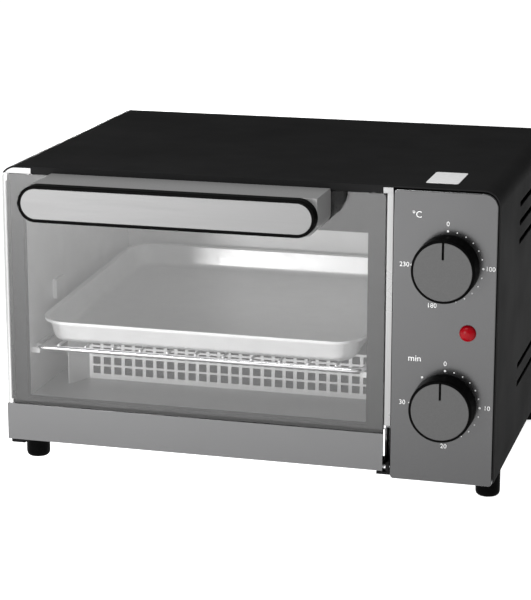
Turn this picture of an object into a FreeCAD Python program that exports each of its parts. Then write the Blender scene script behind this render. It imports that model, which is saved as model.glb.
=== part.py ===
import FreeCAD, Part
import math
import os
import Sketcher

# Countertop toaster oven: one document, one object for each piece.
# +X is to the right seen from the front, +Y to the back, +Z up, millimetres.
# The origin is on the table, under the middle of the whole oven's box.

V = FreeCAD.Vector
doc = FreeCAD.newDocument("toaster_oven")
sheet = doc.addObject("Spreadsheet::Sheet", "Sizes")
rows = []


class Size:
    """A number together with the spreadsheet expression that gives it."""

    def __init__(self, value, text):
        self.value = float(value)
        self.text = text

    def join(self, other, sign, value):
        return Size(value, "(" + self.text + sign + size(other).text + ")")

    def __add__(self, other):
        return self.join(other, " + ", self.value + size(other).value)

    def __sub__(self, other):
        return self.join(other, " - ", self.value - size(other).value)

    def __mul__(self, other):
        return self.join(other, " * ", self.value * size(other).value)

    def __truediv__(self, other):
        return self.join(other, " / ", self.value / size(other).value)

    def __radd__(self, other):
        return size(other) + self

    def __rsub__(self, other):
        return size(other) - self

    def __rmul__(self, other):
        return size(other) * self

    def __neg__(self):
        return Size(-self.value, "(0 - " + self.text + ")")


def size(number):
    if isinstance(number, Size):
        return number
    return Size(number, "(" + repr(round(float(number), 4)) + ")")


def dim(alias, value):
    """A driving dimension: a row of the spreadsheet with a word alias."""
    rows.append(alias)
    line = str(len(rows))
    sheet.set("A" + line, alias)
    sheet.set("B" + line, str(value))
    sheet.setAlias("B" + line, alias)
    return Size(value, "Sizes." + alias)


# Driving dimensions
width = dim("body_width", 370)
front = dim("front_plane", -111)
rear = dim("rear_plane", 153)
top = dim("cover_top", 233)
base_top = dim("base_height", 21.5)
steel = dim("sheet_steel", 1)
gap = dim("running_gap", 0.3)
cover_radius = dim("cover_corner", 12)
door_left = dim("door_left", -184.5)
door_right = dim("door_right", 104)
door_low = dim("door_bottom", 23.5)
door_high = dim("door_top", 226.9)
rail_high = dim("rail_top", 51.5)
rail_depth = dim("rail_depth", 11)
glass = dim("glass_thickness", 4)
glass_low = dim("glass_bottom", 32)
panel_left = dim("panel_left", 109.5)
panel_right = dim("panel_right", 183.5)
panel_low = dim("panel_bottom", 18.5)
panel_high = dim("panel_top", 230.9)
panel_depth = dim("panel_depth", 13)
cavity_left = dim("cavity_left", -173)
cavity_right = dim("cavity_right", 88.6)
cavity_low = dim("cavity_floor", 53.1)
cavity_high = dim("cavity_roof", 195.5)
cavity_front = dim("cavity_mouth", -91)
cavity_rear = dim("cavity_back", 140)
hinge_y = dim("hinge_y", -105.5)
hinge_z = dim("hinge_z", 25.5)
knob_x = dim("knob_x", 148.3)
thermostat_z = dim("thermostat_z", 177.5)
timer_z = dim("timer_z", 76.5)
knob_radius = dim("knob_radius", 23)
knob_depth = dim("knob_depth", 17.5)
lamp_x = dim("lamp_x", 163.9)
lamp_z = dim("lamp_z", 130.5)
handle_left = dim("handle_left", -152.8)
handle_right = dim("handle_right", 64.9)
handle_low = dim("handle_bottom", 202.4)
handle_high = dim("handle_top", 229.2)
handle_reach = dim("handle_reach", 48)
grip_depth = dim("grip_depth", 9)
foot_x = dim("foot_x", 175)
foot_front = dim("foot_front", -74)
foot_rear = dim("foot_rear", 120)
foot_radius = dim("foot_radius", 9)
rack_z = dim("rack_height", 91.5)
rack_wire = dim("rack_frame_wire", 4)
rack_bar = dim("rack_cross_wire", 2.2)
tray_floor = dim("tray_floor", 95.4)
tray_rim = dim("tray_rim", 113.5)
tray_left = dim("tray_left", -165)
tray_right = dim("tray_right", 83)
tray_front = dim("tray_front", -96.5)
tray_back = dim("tray_back", 133)
tray_radius = dim("tray_corner", 22)
heater_radius = dim("heater_radius", 3.5)
guard_y = dim("guard_y", -36)
guard_left = dim("guard_left", -146)
guard_right = dim("guard_right", 79)
guard_high = dim("guard_top", 87.8)
spacer_depth = dim("spacer_depth", 6)
doc.recompute()

side = width / 2
frame_y = front + panel_depth
nodes = []
AXIS = {
    "x": FreeCAD.Rotation(V(0, 1, 0), 90),
    "y": FreeCAD.Rotation(V(1, 0, 0), -90),
    "z": FreeCAD.Rotation(),
}


def bind(obj, prop, number):
    """Set a property and bind it to the spreadsheet."""
    number = size(number)
    if not prop.startswith("Placement"):
        setattr(obj, prop, number.value)
    obj.setExpression(prop, number.text)


def place(obj, x, y, z, rotation=None):
    obj.Placement = FreeCAD.Placement(V(0, 0, 0), rotation or FreeCAD.Rotation())
    for name, number in (("x", x), ("y", y), ("z", z)):
        obj.setExpression("Placement.Base." + name, size(number).text)


def box(name, x0, x1, y0, y1, z0, z1):
    """A block between two corners."""
    obj = doc.addObject("Part::Box", name)
    bind(obj, "Length", size(x1) - x0)
    bind(obj, "Width", size(y1) - y0)
    bind(obj, "Height", size(z1) - z0)
    place(obj, x0, y0, z0)
    return obj


def rod(name, axis, radius, start, end, a, b):
    """A cylinder along an axis; a and b are its other two coordinates, in X, Y, Z order."""
    obj = doc.addObject("Part::Cylinder", name)
    bind(obj, "Radius", radius)
    bind(obj, "Height", size(end) - start)
    corner = {"x": (start, a, b), "y": (a, start, b), "z": (a, b, start)}[axis]
    place(obj, *corner, rotation=AXIS[axis])
    return obj


def fuse(name, *parts):
    obj = doc.addObject("Part::MultiFuse", name)
    obj.Shapes = list(parts)
    obj.Refine = True
    return obj


def cut(name, base, *tools):
    """The base with every tool taken away."""
    obj = doc.addObject("Part::Cut", name)
    obj.Base = base
    obj.Tool = tools[0] if len(tools) == 1 else group(name + "_tools", *tools)
    return obj


def group(name, *parts):
    """Separate solids kept as one object, as with a set of screws."""
    obj = doc.addObject("Part::Compound", name)
    obj.Links = list(parts)
    return obj


def edges_where(obj, test):
    """Numbers of the edges whose middle point and direction pass the test."""
    doc.recompute()
    found = []
    for number, edge in enumerate(obj.Shape.Edges, 1):
        box_ = edge.BoundBox
        if test(box_.Center, V(box_.XLength, box_.YLength, box_.ZLength)):
            found.append(number)
    return found


def rounded(name, base, radius, test):
    """Part::Fillet on the edges that pass the test."""
    obj = doc.addObject("Part::Fillet", name)
    obj.Base = base
    obj.Edges = [(n, size(radius).value, size(radius).value) for n in edges_where(base, test)]
    return obj


def body(name):
    return doc.addObject("PartDesign::Body", name)


def sketch(owner, name, role, level):
    """A sketch on the body's own XY, XZ or YZ plane, moved along that plane's axis."""
    obj = owner.newObject("Sketcher::SketchObject", name)
    plane = [item for item in owner.Origin.OriginFeatures if item.Role == role][0]
    obj.AttachmentSupport = [(plane, "")]
    obj.MapMode = "FlatFace"
    level = -size(level) if role == "XZ_Plane" else size(level)
    obj.AttachmentOffset = FreeCAD.Placement(V(0, 0, level.value), FreeCAD.Rotation())
    obj.setExpression("AttachmentOffset.Base.z", level.text)
    return obj


def outline(obj, points):
    """A closed outline of straight lines whose corners are bound to the sheet."""
    points = [(size(a), size(b)) for a, b in points]
    first = obj.GeometryCount
    count = len(points)
    for i in range(count):
        a, b = points[i], points[(i + 1) % count]
        line = Part.LineSegment(V(a[0].value, a[1].value, 0), V(b[0].value, b[1].value, 0))
        obj.addGeometry(line, False)
    for i in range(count):
        after = first + (i + 1) % count
        obj.addConstraint(Sketcher.Constraint("Coincident", first + i, 2, after, 1))
    for i, point in enumerate(points):
        for kind, number in (("DistanceX", point[0]), ("DistanceY", point[1])):
            rule = Sketcher.Constraint(kind, -1, 1, first + i, 1, number.value)
            index = obj.addConstraint(rule)
            obj.setExpression("Constraints[" + str(index) + "]", number.text)
    return obj


def rectangle(obj, a0, a1, b0, b1):
    return outline(obj, [(a0, b0), (a1, b0), (a1, b1), (a0, b1)])


def circle(obj, a, b, radius):
    a, b, radius = size(a), size(b), size(radius)
    ring = Part.Circle(V(a.value, b.value, 0), V(0, 0, 1), radius.value)
    index = obj.addGeometry(ring, False)
    for kind, number in (("DistanceX", a), ("DistanceY", b)):
        rule = Sketcher.Constraint(kind, -1, 1, index, 3, number.value)
        obj.setExpression("Constraints[" + str(obj.addConstraint(rule)) + "]", number.text)
    rule = Sketcher.Constraint("Radius", index, radius.value)
    obj.setExpression("Constraints[" + str(obj.addConstraint(rule)) + "]", radius.text)
    return obj


def pad(owner, name, profile, length):
    """Pad towards +X, +Y or +Z."""
    obj = owner.newObject("PartDesign::Pad", name)
    obj.Profile = profile
    bind(obj, "Length", length)
    obj.Reversed = profile.AttachmentSupport[0][0].Role == "XZ_Plane"
    profile.Visibility = False
    owner.Tip = obj
    doc.recompute()
    return obj


def pocket(owner, name, profile, depth=None):
    """Pocket towards +X, +Y or +Z, or through everything, checked by its volume."""
    before = owner.Tip.Shape.Volume
    obj = owner.newObject("PartDesign::Pocket", name)
    obj.Profile = profile
    if depth is None:
        obj.Type = 1
        obj.Midplane = True
    else:
        bind(obj, "Length", depth)
        obj.Reversed = profile.AttachmentSupport[0][0].Role != "XZ_Plane"
    owner.Tip = obj
    doc.recompute()
    if not obj.Shape.Volume < before:
        raise RuntimeError(name + " removed nothing")
    return obj


def fillet(owner, name, radius, test):
    """PartDesign fillet on the tip's edges that pass the test."""
    base = owner.Tip
    found = edges_where(base, test)
    obj = owner.newObject("PartDesign::Fillet", name)
    obj.Base = (base, ["Edge" + str(n) for n in found])
    bind(obj, "Radius", radius)
    owner.Tip = obj
    doc.recompute()
    return obj


def revolve(owner, name, profile, role, angle=360):
    """Revolve a profile about its own sketch's vertical or horizontal axis."""
    obj = owner.newObject("PartDesign::Revolution", name)
    obj.Profile = profile
    obj.ReferenceAxis = (profile, [role])
    obj.Angle = angle
    owner.Tip = obj
    doc.recompute()
    return obj


def keep(obj, label):
    """A finished sub-part: its label is the node's name."""
    obj.Label = label
    nodes.append(obj)
    return obj


def lathe(label, axis, points, x, y, z):
    """A turned piece: a profile of (radius, distance along the axis) about +X, +Y or +Z."""
    owner = body(label + "_body")
    profile = owner.newObject("Sketcher::SketchObject", label + "_profile")
    plane = [item for item in owner.Origin.OriginFeatures if item.Role == "XZ_Plane"][0]
    profile.AttachmentSupport = [(plane, "")]
    profile.MapMode = "FlatFace"
    outline(profile, points)
    revolve(owner, label + "_turned", profile, "V_Axis")
    place(owner, x, y, z, rotation=AXIS[axis])
    return owner


def screw(name, axis, x, y, z, head=3.2, shank=1.6, length=8, rise=2):
    """A pan-head screw: its head stands against the axis, its shank runs along it."""
    points = [
        (0, -rise), (head - 0.7, -rise), (head, -0.4 * rise), (head, 0),
        (shank, 0), (shank, length - 1), (0, length),
    ]
    return lathe(name, axis, points, x, y, z)


# Outer cover: one black steel sheet folded over the top and both sides.
inner = side - steel


def cover_form(label, half_width, low, high, radius):
    """A long block with two rounded top corners."""
    owner = body(label)
    profile = sketch(owner, label + "_outline", "XZ_Plane", front)
    rectangle(profile, -half_width, half_width, low, high)
    pad(owner, label + "_pad", profile, rear - front)
    fillet(owner, label + "_corners", radius, lambda c, d: d.y > 100 and c.z > 200)
    return owner


block = cover_form("cover_block", side, base_top, top, cover_radius)
void = cover_form("cover_void", inner, base_top - 5, top - steel, cover_radius - steel)
step = box("cover_door_step", -side - 1, -side + 3, front - 1, frame_y, base_top - 1,
           door_high + 0.6)
louvres = body("louvre_slots")
louvre_high = 4.4
louvre_long = 80
louvre_pitch = 14
for label, y_from, low, count in (("louvres_upper", -22, 176, 3), ("louvres_lower", -14, 65, 2)):
    slots = sketch(louvres, label, "YZ_Plane", -side - 1)
    for i in range(count):
        z = low + louvre_pitch * i
        rectangle(slots, y_from, y_from + louvre_long, z, z + louvre_high)
    pad(louvres, label + "_pad", slots, width + 2)
fillet(louvres, "louvre_ends", louvre_high / 2 - 0.1, lambda c, d: d.x > 100)
shell = cut("cover_shell", block, void, step, louvres)
lip = box("cover_front_lip", -160.7, 101.7, front, front + steel, 227.5, top - steel / 2)
flange_y = frame_y + 15
flange_l = box("cover_flange_left", -inner - steel / 2, -inner + 6, flange_y, rear - 6,
               base_top, base_top + steel)
flange_r = box("cover_flange_right", inner - 6, inner + steel / 2, flange_y, rear - 6,
               base_top, base_top + steel)
keep(fuse("outer_cover", shell, lip, flange_l, flange_r), "outer_cover")

# Blank rating sticker on the top of the cover.
keep(box("top_label", 128.5, 151.7, front + 17, front + 58, top + 0.02, top + 0.22), "top_label")

# Rear cover: a flat pressed sheet inside the back of the cover.
rear_y = rear - 2.2
owner = body("rear_cover_body")
plate = sketch(owner, "rear_plate", "XZ_Plane", rear_y)
rectangle(plate, -inner + gap, inner - gap, base_top + gap, top - steel - gap)
pad(owner, "rear_pad", plate, steel)
fillet(owner, "rear_corners", cover_radius - steel - gap,
       lambda c, d: d.y > 0.9 and c.z > 220)
vents = sketch(owner, "rear_vents", "XZ_Plane", rear_y - 1)
for i in range(6):
    rectangle(vents, 108, 168, 66 + 11 * i, 70 + 11 * i)
    rectangle(vents, -160, -60, 138 + 11 * i, 142 + 11 * i)
pocket(owner, "rear_vent_cut", vents, 4)
hole = sketch(owner, "rear_inlet_hole", "XZ_Plane", rear_y - 1)
circle(hole, knob_x, 45, 7.2)
for spot in (-140, 0, 165):
    circle(hole, spot, 225, 1.7)
    circle(hole, spot, 30, 1.7)
circle(hole, -140, 190, 3.1)
circle(hole, 80, 190, 3.1)
pocket(owner, "rear_hole_cut", hole, 4)
keep(owner, "rear_cover")

# Base plate under the whole body.
owner = body("base_plate_body")
plate = sketch(owner, "base_outline", "XY_Plane", base_top - steel)
rectangle(plate, -inner + gap, inner - gap, frame_y + 1.2, rear - 1)
pad(owner, "base_pad", plate, steel)
slots = sketch(owner, "base_vents", "XY_Plane", base_top - 3)
for i in range(5):
    rectangle(slots, 112, 165, -30 + 14 * i, -26 + 14 * i)
for x in (-foot_x, foot_x):
    for y in (foot_front, foot_rear):
        circle(slots, x, y, 2.2)
pocket(owner, "base_cuts", slots, 6)
keep(owner, "base_plate")

# Front frame: the bright pressed steel surround that the door closes on.
owner = body("front_frame_body")
plate = sketch(owner, "frame_outline", "XZ_Plane", frame_y)
rectangle(plate, -inner + gap, 112, base_top, top - steel - gap)
pad(owner, "frame_pad", plate, steel)
fillet(owner, "frame_corner", cover_radius - steel - gap,
       lambda c, d: d.y > 0.9 and c.z > 220 and c.x < -150)
window = sketch(owner, "frame_window", "XZ_Plane", frame_y - 1)
rectangle(window, cavity_left - steel, cavity_right + steel, cavity_low - steel,
          cavity_high + steel)
rectangle(window, door_right - 0.7, 109.6, 24, 57.5)
pocket(owner, "frame_openings", window, 4)
mouth_out = box("mouth_outer", cavity_left - steel, cavity_right + steel, frame_y,
                cavity_front - 0.2, cavity_low - steel, cavity_high + steel)
mouth_in = box("mouth_inner", cavity_left, cavity_right, frame_y - 1, cavity_front + 1,
               cavity_low, cavity_high)
mouth = cut("frame_mouth", mouth_out, mouth_in)
rib_out = box("rib_outer", door_right + 0.8, panel_left - gap, front + 1, frame_y + steel,
              57.5, top - steel - gap)
rib_in = box("rib_inner", door_right + 1.8, panel_left - gap - 1, front + 2, frame_y + 2,
             58.5, top - steel - gap - 1)
rib = cut("frame_rib", rib_out, rib_in)
cap_right = box("cap_right", 102, panel_left - gap, front + 0.2, frame_y + steel,
                door_high + 0.6, top - steel - gap)
cap_left_block = box("cap_left_block", -inner + gap, -161, front + 0.2, frame_y + steel,
                     door_high + 0.6, top - steel - gap)
cap_form = cover_form("cap_form", inner - gap, base_top, top - steel - gap,
                      cover_radius - steel - gap)
cap_left = doc.addObject("Part::Common", "cap_left")
cap_left.Base = cap_left_block
cap_left.Tool = cap_form
rim_low = box("frame_foot", -inner + gap, 112, frame_y, frame_y + 14, base_top, base_top + steel)
side_return = box("frame_side_return", -inner + gap, -inner + gap + steel, frame_y - 6.8,
                  frame_y + steel, 53, 220)
keep(fuse("front_frame", owner, mouth, rib, cap_right, cap_left, rim_low, side_return),
     "front_frame")

# Cooking cavity: five bright plates behind the front frame.
bush_spots = [(-10, 68), (88, 68), (-15, 183), (88, 183)]
heater_names = ["heater_lower_front", "heater_lower_rear",
                "heater_upper_front", "heater_upper_rear"]


def wall(label, x0, x1):
    """A side wall with four round holes for the ceramic bushes."""
    plain = box(label + "_sheet", x0, x1, cavity_front, cavity_rear, cavity_low, cavity_high)
    holes = [
        rod(label + "_hole" + str(i), "x", 6.05, size(x0) - 1, size(x1) + 1, y, z)
        for i, (y, z) in enumerate(bush_spots)
    ]
    return keep(cut(label, plain, *holes), label)


wall("cavity_left_wall", cavity_left - steel, cavity_left)
wall("cavity_right_wall", cavity_right, cavity_right + steel)
keep(box("cavity_roof", cavity_left - steel, cavity_right + steel, cavity_front, cavity_rear,
         cavity_high, cavity_high + steel), "cavity_roof")
keep(box("cavity_floor", cavity_left - steel, cavity_right + steel, cavity_front, cavity_rear,
         cavity_low - steel, cavity_low), "cavity_floor")
keep(box("cavity_back", cavity_left - steel, cavity_right + steel, cavity_rear,
         cavity_rear + steel, cavity_low - steel, cavity_high + steel), "cavity_back")

# Heating elements: four sheathed rods with terminal pins, each in two ceramic bushes.
left_wall = cavity_left - steel
right_wall = cavity_right + steel
bushes = []
for name, (y, z) in zip(heater_names, bush_spots):
    sheath = rod(name + "_sheath", "x", heater_radius, left_wall - 5, right_wall + 7, y, z)
    pin_l = rod(name + "_pin_left", "x", 1.4, left_wall - 8.5, left_wall - 5, y, z)
    pin_r = rod(name + "_pin_right", "x", 1.4, right_wall + 7, right_wall + 12, y, z)
    keep(fuse(name, sheath, pin_l, pin_r), name)
    for end, x, turn in (("left", left_wall, -1), ("right", right_wall, 1)):
        bore = heater_radius + 0.08
        points = [(bore, -2.5), (6, -2.5), (6, 0), (8, 0), (8, 4), (bore, 4)]
        if turn < 0:
            points = [(r, -d) for r, d in points]
        bushes.append(lathe("bush_" + name + "_" + end, "x", points, x, y, z))
keep(group("ceramic_bushes", *bushes), "ceramic_bushes")

# Heater guard: a perforated bright strip with two short wings turned forward.
guard_sheet = 0.8
hole_side = 6
hole_pitch = 8.6
row_pitch = 7.6
guard_foot = 4.2
owner = body("heater_guard_body")
plan = sketch(owner, "guard_plan", "XY_Plane", cavity_low + 0.1)
outline(plan, [
    (guard_left, guard_y), (guard_left - 10, guard_y - 20),
    (guard_left - 9.2, guard_y - 20.4), (guard_left + 0.6, guard_y - guard_sheet),
    (guard_right - 0.6, guard_y - guard_sheet), (guard_right + 3.2, guard_y - 20.4),
    (guard_right + 4, guard_y - 20), (guard_right, guard_y),
])
pad(owner, "guard_strip", plan, guard_high - cavity_low)
column = sketch(owner, "guard_column", "XZ_Plane", guard_y - 2)
for i in range(4):
    low = cavity_low + guard_foot + row_pitch * i
    rectangle(column, guard_left + 3.5, guard_left + 3.5 + hole_side, low, low + hole_side)
holes = pocket(owner, "guard_holes", column, 4)
pattern = owner.newObject("PartDesign::LinearPattern", "guard_pattern")
pattern.Originals = [holes]
pattern.Direction = (column, ["H_Axis"])
pattern.Length = hole_pitch * 25
pattern.Occurrences = 26
owner.Tip = pattern
doc.recompute()
keep(owner, "heater_guard")


def runner(label, x0, x1, tab0, tab1):
    """A pressed ledge for the rack along a side wall, with a short stop above it."""
    ledge = box(label + "_ledge", x0, x1, cavity_front + 4, cavity_rear - 6,
                rack_z - rack_wire / 2 - 4.2, rack_z - rack_wire / 2 - 0.2)
    tab = box(label + "_tab", tab0, tab1, -40, -22, 116, 131)
    return keep(group(label, ledge, tab), label)


runner("rack_runner_left", cavity_left, cavity_left + 6, cavity_left, cavity_left + 3)
runner("rack_runner_right", cavity_right - 5, cavity_right, cavity_right - 2, cavity_right)

# Control panel: a pressed tray-shaped front with its knob and lamp holes.
owner = body("control_panel_body")
face = sketch(owner, "panel_face", "XZ_Plane", front)
rectangle(face, panel_left, panel_right, panel_low, panel_high)
pad(owner, "panel_block", face, panel_depth)
fillet(owner, "panel_top_corner", 10, lambda c, d: d.y > 10 and c.z > 220 and c.x > 180)
fillet(owner, "panel_small_corners", 2.5,
       lambda c, d: d.y > 10 and (c.z < 30 or c.x < 120))
inside = sketch(owner, "panel_inside", "XZ_Plane", front + 2)
rectangle(inside, panel_left + 1.5, panel_right - 1.5, panel_low + 1.5, panel_high - 3)
pocket(owner, "panel_hollow", inside, panel_depth)
holes = sketch(owner, "panel_holes", "XZ_Plane", front - 1)
circle(holes, knob_x, thermostat_z, 5)
circle(holes, knob_x, timer_z, 5)
circle(holes, lamp_x, lamp_z, 5.2)
control_spots = [
    (knob_x + side_sign * 14, z + side_sign * 6)
    for z in (thermostat_z, timer_z) for side_sign in (-1, 1)
]
for x, z in control_spots:
    circle(holes, x, z, 1.5)
pocket(owner, "panel_hole_cut", holes, 5)
fillet(owner, "panel_front_edge", 1.0,
       lambda c, d: abs(c.y - front.value) < 0.01 and max(d.x, d.z) > 60)
keep(owner, "control_panel")

# Thermostat: a bimetal switch behind the panel, with its mounting plate and bush.
plate_y = front + 2
t_plate = box("thermostat_plate", knob_x - 20, knob_x + 20, plate_y + 0.05, plate_y + 1.6,
              thermostat_z - 11, thermostat_z + 11)
t_case = box("thermostat_case", knob_x - 16, knob_x + 16, plate_y + 1.6, plate_y + 24,
             thermostat_z - 13, thermostat_z + 13)
t_tabs = [
    box("thermostat_tab" + str(i), knob_x - 13 + 9 * i, knob_x - 7 + 9 * i, plate_y + 24,
        plate_y + 31, thermostat_z - 9, thermostat_z - 8.2)
    for i in range(3)
]
screw_bores = [
    rod("control_bore" + str(i), "y", 1.45, plate_y - 1, plate_y + 1.6, x, z)
    for i, (x, z) in enumerate(control_spots)
]
t_bore = rod("thermostat_bore", "y", 3.05, plate_y - 1, plate_y + 16, knob_x, thermostat_z)
t_solid = fuse("thermostat_solid", t_plate, t_case, *t_tabs)
keep(cut("thermostat_body", t_solid, t_bore, *screw_bores[:2]), "thermostat_body")

# Timer: a clockwork case with its bell behind it.
c_plate = box("timer_plate", knob_x - 24, knob_x + 24, plate_y + 0.05, plate_y + 1.6,
              timer_z - 11, timer_z + 11)
c_case = rod("timer_case", "y", 23, plate_y + 1.6, plate_y + 30, knob_x, timer_z)
c_bore = rod("timer_bore", "y", 3.05, plate_y - 1, plate_y + 16, knob_x, timer_z)
c_post = rod("timer_post", "y", 2, plate_y + 30, plate_y + 33, knob_x, timer_z)
c_solid = fuse("timer_solid", c_plate, c_case, c_post)
keep(cut("timer_body", c_solid, c_bore, *screw_bores[2:]), "timer_body")
bell = lathe("timer_bell", "y",
             [(2.05, 0), (17, 0), (20, 2), (21, 8), (20, 8), (19, 2.8), (16.6, 1), (2.05, 1)],
             knob_x, plate_y + 31.5, timer_z)
keep(bell, "timer_bell")
control_screws = [
    screw("control_screw" + str(i), "y", x, front, z, head=2.6, shank=1.4, length=3.4, rise=1.5)
    for i, (x, z) in enumerate(control_spots)
]

# Pilot lamp: red dome in front, plastic holder behind.
lens = lathe("pilot_lamp_lens", "y", [
    (0, -4), (2.2, -3.7), (4.1, -2.7), (5.4, -1.2), (6, -0.05), (4.9, -0.05), (4.9, 4), (0, 4),
], lamp_x, front, lamp_z)
keep(lens, "pilot_lamp_lens")
holder = lathe("pilot_lamp_holder", "y", [
    (0, 4.2), (6.5, 4.2), (6.5, 20), (2, 22), (2, 26), (0, 26),
], lamp_x, front, lamp_z)
keep(holder, "pilot_lamp_holder")


def knob(label, z):
    """Knob with a hollow back, a hub for the shaft and a shallow seat for its face disc."""
    lip_y = knob_depth + gap
    turned = lathe(label + "_turned", "y", [
        (3.03, -knob_depth + 3), (0, -knob_depth + 3), (0, 1.2 - lip_y),
        (knob_radius - 2.1, 1.2 - lip_y), (knob_radius - 2.1, -lip_y),
        (knob_radius - 0.9, -lip_y), (knob_radius - 0.3, 0.8 - lip_y), (knob_radius, -gap),
        (knob_radius - 2, -gap), (knob_radius - 2.6, -knob_depth + 4),
        (7, -knob_depth + 4), (6, -gap - 0.5), (3.03, -gap - 0.5),
    ], knob_x, front, z)
    keep(turned, label)
    disc = rod(label + "_disc", "y", knob_radius - 2.25, front - lip_y + 0.15,
               front - lip_y + 1.2, knob_x, z)
    groove = box(label + "_groove", knob_x - 1.1, knob_x + 1.1, front - lip_y - 1,
                 front - lip_y + 3, z + 10.5, z + knob_radius)
    keep(cut(label + "_face", disc, groove), label + "_face")


def shaft(label, z):
    """Control shaft with a flat, from the knob's hub into the control behind."""
    pin = rod(label + "_rod", "y", 3, front - knob_depth + 3.1, front + 14, knob_x, z)
    keep(pin, label)


knob("thermostat_knob", thermostat_z)
shaft("thermostat_shaft", thermostat_z)
knob("timer_knob", timer_z)
shaft("timer_shaft", timer_z)

# Heat shield between the cavity and the controls.
keep(box("heat_shield", 102.6, 103.4, cavity_front + 8, cavity_rear - 4, base_top + 0.1, 225),
     "heat_shield")

# Mains parts inside the back: terminal block and the gland that the cord passes.
block = box("terminal_box", 128, 168, 100, 118, base_top + 0.05, base_top + 16)
block_holes = [
    rod("terminal_hole" + str(i), "y", 2.6, 99, 119, 135 + 13 * i, base_top + 10)
    for i in range(3)
]
keep(cut("terminal_block", block, *block_holes), "terminal_block")
gland = lathe("cord_gland", "y", [
    (4, -6), (7, -6), (7, 0.05), (11, 0.05), (11, 3), (8, 6), (4, 6),
], knob_x, rear_y + steel, 45)
keep(gland, "cord_gland")

# Two stand-offs that hold the back of the oven off the wall.
spacers = [
    lathe("spacer" + str(i), "y",
          [(0, -5), (3, -5), (3, 0.05), (9, 0.05), (9, 5), (7, 7.2), (0, 7.2)],
          x, rear_y + steel, 190)
    for i, x in enumerate((-140, 80))
]
keep(group("rear_spacers", *spacers), "rear_spacers")

# Feet with their screws.
feet = []
for label, x, y in (("foot_front_left", -foot_x, foot_front),
                    ("foot_front_right", foot_x, foot_front),
                    ("foot_rear_left", -foot_x, foot_rear),
                    ("foot_rear_right", foot_x, foot_rear)):
    foot = lathe(label, "z", [
        (2.4, 5), (2.4, 0.8), (3.4, 0), (foot_radius - 3, 0), (foot_radius - 0.8, 0.9),
        (foot_radius, 3), (foot_radius, base_top - steel), (1.7, base_top - steel), (1.7, 5),
    ], x, y, 0)
    keep(foot, label)
    feet.append(screw(label + "_screw", "z", x, y, 5, head=2.3, shank=1.6, length=20, rise=1.8))
keep(group("foot_screws", *feet), "foot_screws")

# Other screws.
rear_screws = [
    screw("rear_screw_" + str(i), "y", x, rear_y + steel, z, length=6, rise=1)
    for i, (x, z) in enumerate([(x, z) for x in (-140, 0, 165) for z in (225, 30)])
]
for item in rear_screws:
    item.Placement.Rotation = FreeCAD.Rotation(V(1, 0, 0), 90)
keep(group("rear_screws", *rear_screws), "rear_screws")
keep(group("control_screws", *control_screws), "control_screws")

# Hinge ears on the base: the door's two pins turn in them.
ear_bore = 1.55
ear_radius = 3.6
for label, x0, x1, pad0, pad1 in (
        ("hinge_bracket_left", door_left - 0.2, door_left + 2, door_left - 0.2, -174),
        ("hinge_bracket_right", door_right + 1.9, door_right + 4.2, 98, door_right + 4.2)):
    eye = rod(label + "_eye", "x", ear_radius, x0, x1, hinge_y, hinge_z)
    arm = box(label + "_arm", x0, x1, hinge_y, frame_y - 0.1, hinge_z - 3.4, hinge_z + 3.4)
    leg = box(label + "_leg", x0, x1, hinge_y + 1.8, frame_y - 0.1, base_top - steel - 2, hinge_z)
    flat = box(label + "_flat", pad0, pad1, hinge_y + 1.8, frame_y + 13.5,
               base_top - steel - 2, base_top - steel - 0.05)
    hole = rod(label + "_hole", "x", ear_bore, size(x0) - 1, size(x1) + 1, hinge_y, hinge_z)
    keep(cut(label, fuse(label + "_plate", eye, arm, leg, flat), hole), label)

# Door: a tempered pane in a folded steel rail, with a silicone strip behind the pane.
rail_y = front + rail_depth
owner = body("door_bottom_rail_body")
fold = sketch(owner, "rail_fold", "YZ_Plane", door_left)
outline(fold, [
    (front, door_low), (rail_y, door_low), (rail_y, rail_high - 3), (rail_y - 1, rail_high - 3),
    (rail_y - 1, door_low + 1), (front + 1, door_low + 1), (front + 1, rail_high),
    (front, rail_high),
])
pad(owner, "rail_pad", fold, door_right - door_left)
notch = sketch(owner, "rail_notch", "XZ_Plane", front + 1.2)
rectangle(notch, door_left - 1, door_left + 2.6, door_low - 1, hinge_z + 5)
pocket(owner, "rail_notch_cut", notch, rail_depth)
rail_shell = owner
end_left = box("rail_end_left", door_left + 2.8, door_left + 3.8, front + 0.5, rail_y - 0.5,
               door_low + 0.5, glass_low - 0.3)
end_right = box("rail_end_right", door_right - 1, door_right, front + 0.5, rail_y - 0.5,
                door_low + 0.5, glass_low - 0.3)
pin_hole = rod("rail_pin_hole", "x", 1.5, door_left - 2, door_right + 2, hinge_y, hinge_z)
keep(cut("door_bottom_rail", fuse("rail_with_ends", rail_shell, end_left, end_right), pin_hole),
     "door_bottom_rail")

glass_y = front + 1.05
owner = body("door_glass_body")
pane = sketch(owner, "pane_outline", "XZ_Plane", glass_y)
rectangle(pane, door_left + 0.5, door_right - 0.3, glass_low, door_high)
pad(owner, "pane", pane, glass)
fillet(owner, "pane_corners", 3, lambda c, d: d.y > 3)
screw_spots = (-120, 40)
screw_z = 213
holes = sketch(owner, "pane_holes", "XZ_Plane", glass_y - 1)
for x in screw_spots:
    circle(holes, x, screw_z, 3)
pocket(owner, "pane_hole_cut", holes, 8)
keep(owner, "door_glass")
keep(box("glass_gasket", door_left + 4, door_right - 1.2, glass_y + glass, rail_y - 1,
         glass_low + 1, rail_high - 3), "glass_gasket")

pins = [
    rod("hinge_pin_left", "x", 1.5, door_left + 0.1, door_left + 9, hinge_y, hinge_z),
    rod("hinge_pin_right", "x", 1.5, door_right - 6, door_right + 4.6, hinge_y, hinge_z),
]
keep(group("hinge_pins", *pins), "hinge_pins")

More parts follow.
